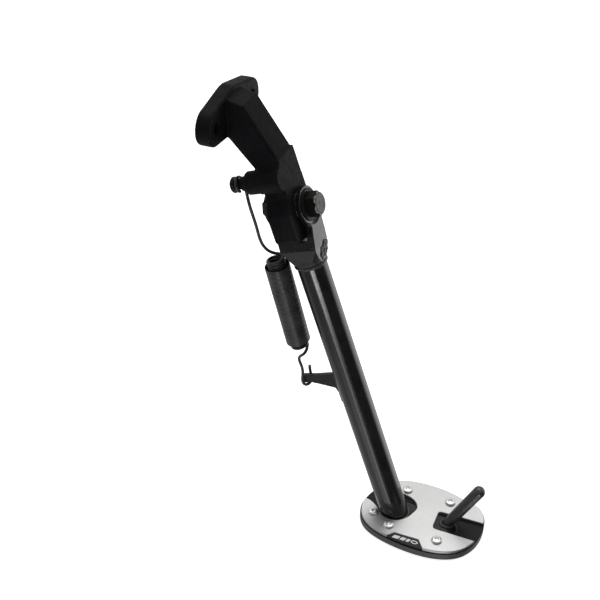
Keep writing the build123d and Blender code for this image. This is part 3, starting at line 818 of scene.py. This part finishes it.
def sleeve_profile(half):
    """(radius, height) steps up the outside of a sleeve of a half length, with soft ribs and rounded lips."""
    lip = [(SLEEVE_BORE, 0.6), (SLEEVE_BORE + 0.15, 0.1), (SLEEVE_R - 0.55, 0), (SLEEVE_R - 0.12, 0.25)]
    profile = [(radius, -half + inset) for radius, inset in lip]
    steps = int((2 * half - RIB_FADE) / SLEEVE_STEP)
    for i in range(steps + 1):
        height = -half + SLEEVE_LIP + 2 * (half - SLEEVE_LIP) * i / steps
        fade = min(1.0, (half - abs(height)) / RIB_FADE)
        rib = math.cos(2 * math.pi * height / RIB_PITCH)
        profile.append((RIB_BASE + RIB_HEIGHT * rib * fade, height))
    return profile + [(radius, half - inset) for radius, inset in reversed(lip)]


def ribbed_sleeve():
    """The rubber sleeve over the spring, faintly dented."""
    middle, up, half = axis_of("spring_sleeve")
    place = Matrix.Translation(middle) @ (-up).to_track_quat("Z", "Y").to_matrix().to_4x4()
    rings = []
    for radius, height in sleeve_profile(half / MM):
        ring = []
        for step in range(SLEEVE_SEGMENTS):
            angle = 2 * math.pi * step / SLEEVE_SEGMENTS
            spot = Vector((math.cos(angle) * 1.5, math.sin(angle) * 1.5, height * 0.22))
            reach = radius + SLEEVE_DENT * noise.noise(spot)
            point = Vector((reach * math.cos(angle), reach * math.sin(angle), height))
            ring.append(place @ (point * MM))
        rings.append(ring)
    mesh = grid_mesh("ribbed_sleeve", rings, closed_along=True)
    creased(mesh, 50)
    return mesh


piece("ribbed_sleeve", ribbed_sleeve(), "spring_top", "black_rubber", "spring_sleeve")


# ---------------------------------------------------------------- stage
FLOOR_HALF = 6.0


def pale_floor():
    """A white floor at the sole that lights the underside, but isn't mirrored and blocks no light."""
    half = FLOOR_HALF
    mesh = bpy.data.meshes.new("floor")
    corners = [(-half, -half, SOLE), (half, -half, SOLE), (half, half, SOLE), (-half, half, SOLE)]
    mesh.from_pydata(corners, [], [(0, 1, 2, 3)])
    obj = bpy.data.objects.new("floor", mesh)
    bpy.context.scene.collection.objects.link(obj)
    pale = bpy.data.materials.new("pale_floor")
    pale.use_nodes = True
    shader = pale.node_tree.nodes["Principled BSDF"]
    socket(shader, "Base Color", (0.85, 0.85, 0.85, 1))
    socket(shader, "Roughness", 0.9)
    socket(shader, "Specular IOR Level", 0.0)
    socket(shader, "Emission Color", (1, 1, 1, 1))
    socket(shader, "Emission Strength", 0.72)
    mesh.materials.append(pale)
    obj.visible_glossy = False
    obj.visible_shadow = False
    return obj


floor = pale_floor()


# ---------------------------------------------------------------- light
# directions, in the row frame, of the boxes and the flag that the stand mirrors
FLAG_TO = (0.34, 0.91, -0.22)
SIDE_BOX_TO = (-0.70, 0.64, -0.30)
STREAK_TO = (0.88, 0.26, -0.39)

# strips along the leg: (place across, inner edge, outer edge, power, power further down the leg)
STRIPS = ((-0.03, 0.03, 0.09, 4.5, 2.2), (-0.12, 0.15, 0.28, 15.0, 0.0))


class Sky:
    """Node calls for light that depends on where a ray goes."""

    def __init__(self, tree):
        self.tree = tree
        self.direction = tree.nodes.new("ShaderNodeTexCoord").outputs["Generated"]

    def towards(self, vector):
        """Cosine of the angle between a ray and a direction."""
        node = self.tree.nodes.new("ShaderNodeVectorMath")
        node.operation = "DOT_PRODUCT"
        node.inputs[1].default_value = Vector(vector).normalized()
        self.tree.links.new(self.direction, node.inputs[0])
        return node.outputs["Value"]

    def ramp(self, source, start, end, low, high):
        """A soft step from low to high as the source goes from start to end."""
        node = self.tree.nodes.new("ShaderNodeMapRange")
        node.interpolation_type = "SMOOTHSTEP"
        for name, value in (("From Min", start), ("From Max", end), ("To Min", low), ("To Max", high)):
            node.inputs[name].default_value = value
        self.tree.links.new(source, node.inputs["Value"])
        return node.outputs["Result"]

    def maths(self, operation, *values):
        """The result of a math node over numbers and sockets."""
        node = self.tree.nodes.new("ShaderNodeMath")
        node.operation = operation
        for index, value in enumerate(values):
            if isinstance(value, (int, float)):
                node.inputs[index].default_value = value
            else:
                self.tree.links.new(value, node.inputs[index])
        return node.outputs[0]


def sky_light(sky):
    """Strength of the light from each direction: a soft surround, a dark flag, boxes and strips."""
    forward = sky.towards((1, 0, 0))
    down_leg = sky.towards(leg_vector(0, 1, 0))
    surround = sky.ramp(sky.towards((0, 0, 1)), -0.5, 0.6, 0.62, 0.85)
    flag = sky.ramp(sky.towards(FLAG_TO), 0.50, 0.80, 1.0, 0.04)
    light = sky.maths("MULTIPLY", surround, flag)

    # darker ahead, and lighter again where ahead turns down the leg
    ahead = sky.ramp(forward, 0.30, 0.65, 0.0, 1.0)
    level = sky.ramp(down_leg, 0.40, 0.58, 0.70, 0.0)
    shade = sky.maths("MULTIPLY", ahead, level)
    light = sky.maths("MULTIPLY", light, sky.maths("SUBTRACT", 1.0, shade))
    low_fill = sky.ramp(down_leg, 0.47, 0.62, 0.0, 1.1)
    low_ahead = sky.ramp(forward, 0.66, 0.78, 0.0, 1.0)
    light = sky.maths("ADD", light, sky.maths("MULTIPLY", low_fill, low_ahead))
    light = sky.maths("ADD", light, sky.ramp(sky.towards(SIDE_BOX_TO), 0.88, 0.97, 0.0, 1.15))

    # the strips that draw the bright streaks down the tube
    streak_to = Vector(STREAK_TO).normalized()
    across = sky.towards(leg_vector(0, 1, 0).cross(streak_to))
    near = sky.ramp(sky.towards(streak_to), 0.80, 0.93, 0.0, 1.0)
    front = sky.maths("MULTIPLY", near, sky.ramp(down_leg, 0.38, 0.415, 0.0, 1.0))
    for middle, inner, outer, power, power_down in STRIPS:
        aside = sky.maths("ABSOLUTE", sky.maths("SUBTRACT", across, middle))
        fading = sky.ramp(down_leg, 0.42, 0.50, power, power_down)
        strip = sky.maths("MULTIPLY", sky.ramp(aside, inner, outer, 1.0, 0.0), fading)
        light = sky.maths("ADD", light, sky.maths("MULTIPLY", strip, front))
    return light


def studio():
    """White surround to the camera; the light that falls on the stand comes from sky_light."""
    world = bpy.data.worlds.new("studio")
    bpy.context.scene.world = world
    world.use_nodes = True
    tree = world.node_tree
    tree.nodes.clear()
    lit = tree.nodes.new("ShaderNodeBackground")
    tree.links.new(sky_light(Sky(tree)), lit.inputs["Strength"])
    seen = tree.nodes.new("ShaderNodeBackground")
    seen.inputs["Color"].default_value = (1, 1, 1, 1)
    choose = tree.nodes.new("ShaderNodeMixShader")
    tree.links.new(tree.nodes.new("ShaderNodeLightPath").outputs["Is Camera Ray"], choose.inputs["Fac"])
    tree.links.new(lit.outputs["Background"], choose.inputs[1])
    tree.links.new(seen.outputs["Background"], choose.inputs[2])
    output = tree.nodes.new("ShaderNodeOutputWorld")
    tree.links.new(choose.outputs["Shader"], output.inputs["Surface"])


def softbox(name, place, target, width, height, watts):
    """A rectangular lamp in metres that faces a target."""
    lamp = bpy.data.lights.new(name, "AREA")
    lamp.shape = "RECTANGLE"
    lamp.size, lamp.size_y, lamp.energy = width, height, watts
    obj = bpy.data.objects.new(name, lamp)
    bpy.context.scene.collection.objects.link(obj)
    obj.location = place
    obj.rotation_euler = (Vector(target) - Vector(place)).to_track_quat("-Z", "Y").to_euler()


studio()
softbox("overhead", place=(-0.5, -0.1, 1.3), target=(0, 0.12, -0.3), width=1.4, height=1.0, watts=9)


# ---------------------------------------------------------------- camera
CAMERA_PLACE = (0.60998, 0.30873, 0.31466)
CAMERA_DIP = 35.59  # degrees below level
CAMERA_TURN = 112.0
CAMERA_LENS = 60

camera_data = bpy.data.cameras.new("camera")
camera_data.lens = CAMERA_LENS
camera_data.sensor_width = 36
camera = bpy.data.objects.new("camera", camera_data)
bpy.context.scene.collection.objects.link(camera)
camera.location = CAMERA_PLACE
camera.rotation_euler = (math.radians(90 - CAMERA_DIP), 0, math.radians(CAMERA_TURN))
bpy.context.scene.camera = camera
bpy.context.scene.view_settings.view_transform = "Standard"
